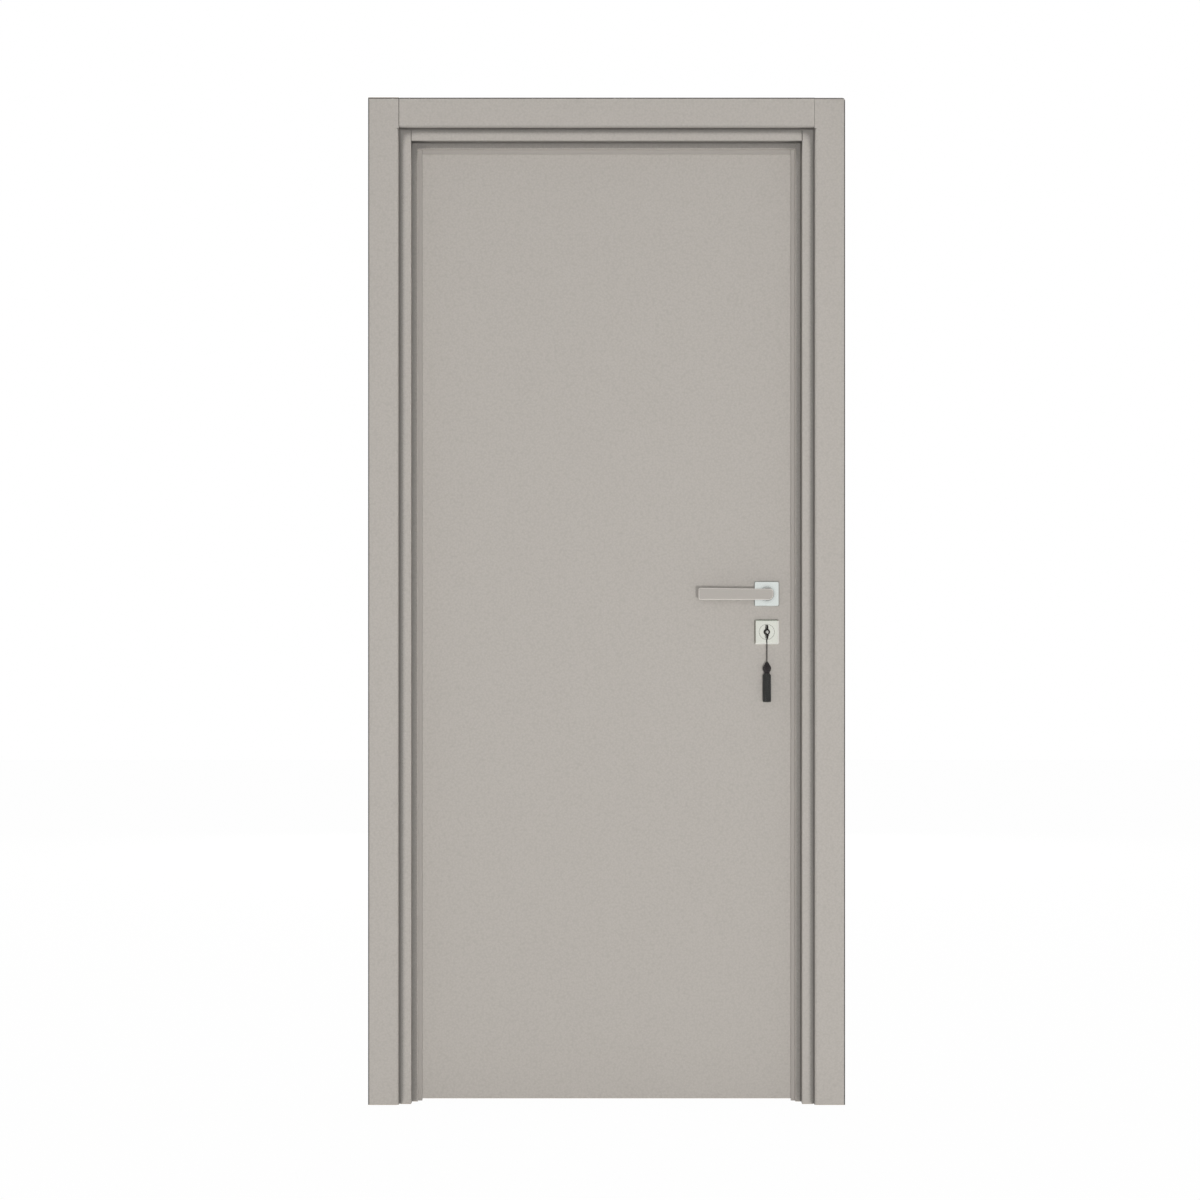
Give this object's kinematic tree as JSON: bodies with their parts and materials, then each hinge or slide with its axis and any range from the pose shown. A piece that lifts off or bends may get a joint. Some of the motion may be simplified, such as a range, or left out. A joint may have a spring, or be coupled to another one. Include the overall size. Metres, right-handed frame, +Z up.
{
  "type": "prehung interior door",
  "caption": "Flush prehung interior door with lined frame, casings, seals, butt hinges, lever handles on square roses, and a key with a tassel.",
  "frame": {"origin": "on the wall face of the hinge-side jamb, at its foot and in the middle of its depth", "axes": "+X from the hinge side to the strike side, +Y through the doorway to the side that the leaf opens to, +Z up"},
  "size_m": [0.994, 0.152, 2.099],
  "materials": {
    "door_foil": "foil with a fine grain, satin",
    "core_timber": "sawn",
    "seal_strip": "soft, matt",
    "hinge_steel": "satin nickel plated",
    "lock_steel": "nickel plated",
    "rose_chrome": "polished",
    "lever_metal": "satin metallic lacquer",
    "key_steel": "nickel plated",
    "tassel_cord": "twisted cord",
    "tassel_head": "wound yarn",
    "tassel_yarn": "loose yarn"
  },
  "bodies": {
    "frame": {"jamb_hinge_side": "door_foil", "jamb_strike_side": "door_foil", "jamb_head": "door_foil", "casing_front_hinge_side": "door_foil", "casing_front_strike_side": "door_foil", "casing_front_head": "door_foil", "casing_back_hinge_side": "door_foil", "casing_back_strike_side": "door_foil", "casing_back_head": "door_foil", "stop_hinge_side": "door_foil", "stop_strike_side": "door_foil", "stop_head": "door_foil", "seal_hinge_side": "seal_strip", "seal_strike_side": "seal_strip", "seal_head": "seal_strip", "strike_plate": "lock_steel", "hinge_lower_jamb_plate": "hinge_steel", "hinge_middle_jamb_plate": "hinge_steel", "hinge_upper_jamb_plate": "hinge_steel"},
    "leaf": {"leaf_skin_front": "door_foil", "leaf_skin_back": "door_foil", "leaf_stile_hinge_side": "door_foil", "leaf_stile_lock_side": "door_foil", "leaf_rail_bottom": "core_timber", "leaf_rail_top": "core_timber", "leaf_core": "core_timber", "hinge_lower_leaf_plate": "hinge_steel", "hinge_middle_leaf_plate": "hinge_steel", "hinge_upper_leaf_plate": "hinge_steel", "lock_faceplate": "lock_steel", "lock_case": "lock_steel", "latch_bolt": "lock_steel", "dead_bolt": "lock_steel", "lever_rose_front": "rose_chrome", "lever_rose_back": "rose_chrome", "key_rose_front": "rose_chrome", "key_rose_back": "rose_chrome"},
    "lever": {"lever_front": "lever_metal", "lever_back": "lever_metal", "lever_spindle": "lock_steel"},
    "key": {"key": "key_steel"},
    "tassel": {"tassel_loop": "tassel_cord", "tassel_cord": "tassel_cord", "tassel_head": "tassel_head", "tassel_skirt": "tassel_yarn"}
  },
  "joints": [
    {"name": "leaf_swing", "type": "hinge", "parent": "frame", "child": "leaf", "pos_m": [0.04325, 0.052, 1], "axis": [0, 0, 1], "range_deg": [0, 110]},
    {"name": "lever_turn", "type": "hinge", "parent": "leaf", "child": "lever", "pos_m": [0.7845, 0.025, 1.065], "axis": [0, -1, 0], "range_deg": [0, 40], "stiffness_Nm_per_rad": 2.5, "springref_deg": -22.92},
    {"name": "key_turn", "type": "hinge", "parent": "leaf", "child": "key", "pos_m": [0.7845, 0, 0.985], "axis": [0, 1, 0], "range_deg": [0, 360]},
    {"name": "tassel_swing", "type": "hinge", "parent": "leaf", "child": "tassel", "pos_m": [0.7845, -0.01, 0.985], "axis": [0, 1, 0], "range_deg": [-14, 40]}
  ]
}
